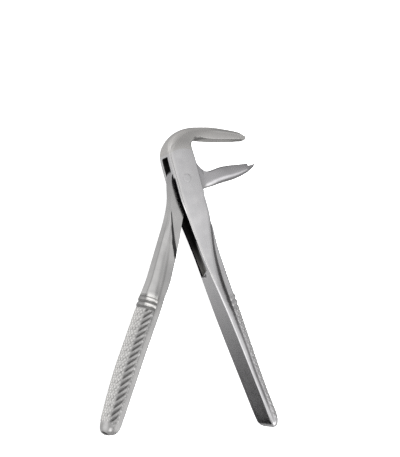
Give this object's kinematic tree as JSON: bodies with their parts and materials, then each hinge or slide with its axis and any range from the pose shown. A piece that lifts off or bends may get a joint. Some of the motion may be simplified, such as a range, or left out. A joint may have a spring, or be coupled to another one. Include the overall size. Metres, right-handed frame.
{
  "type": "extraction forceps",
  "caption": "Dental extraction forceps with a box joint: two crossed steel arms, hooked molar beaks at right angles to knurled handles, on one flush rivet.",
  "frame": {"origin": "on the hinge axis, in the plane of the underside cheek's outer face, at the centre of the rivet's flush end", "axes": "+Z along the hinge axis, through both cheeks; +X along the beaks, from the joint to the tips; +Y from the handles to the upper beak. The forceps lie flat and stand part open"},
  "size_m": [0.1019, 0.1603, 0.0148],
  "materials": {
    "satin_steel": "satin stainless steel",
    "rivet_steel": "ground flush, satin"
  },
  "bodies": {
    "box_side": {"box_arm": "satin_steel", "pivot_pin": "rivet_steel"},
    "tenon_side": {"tenon_arm": "satin_steel"}
  },
  "joints": [
    {"name": "pivot", "type": "hinge", "parent": "box_side", "child": "tenon_side", "pos_m": [0, 0, 0.006], "axis": [0, 0, 1], "range_deg": [-12, 16.5]}
  ]
}
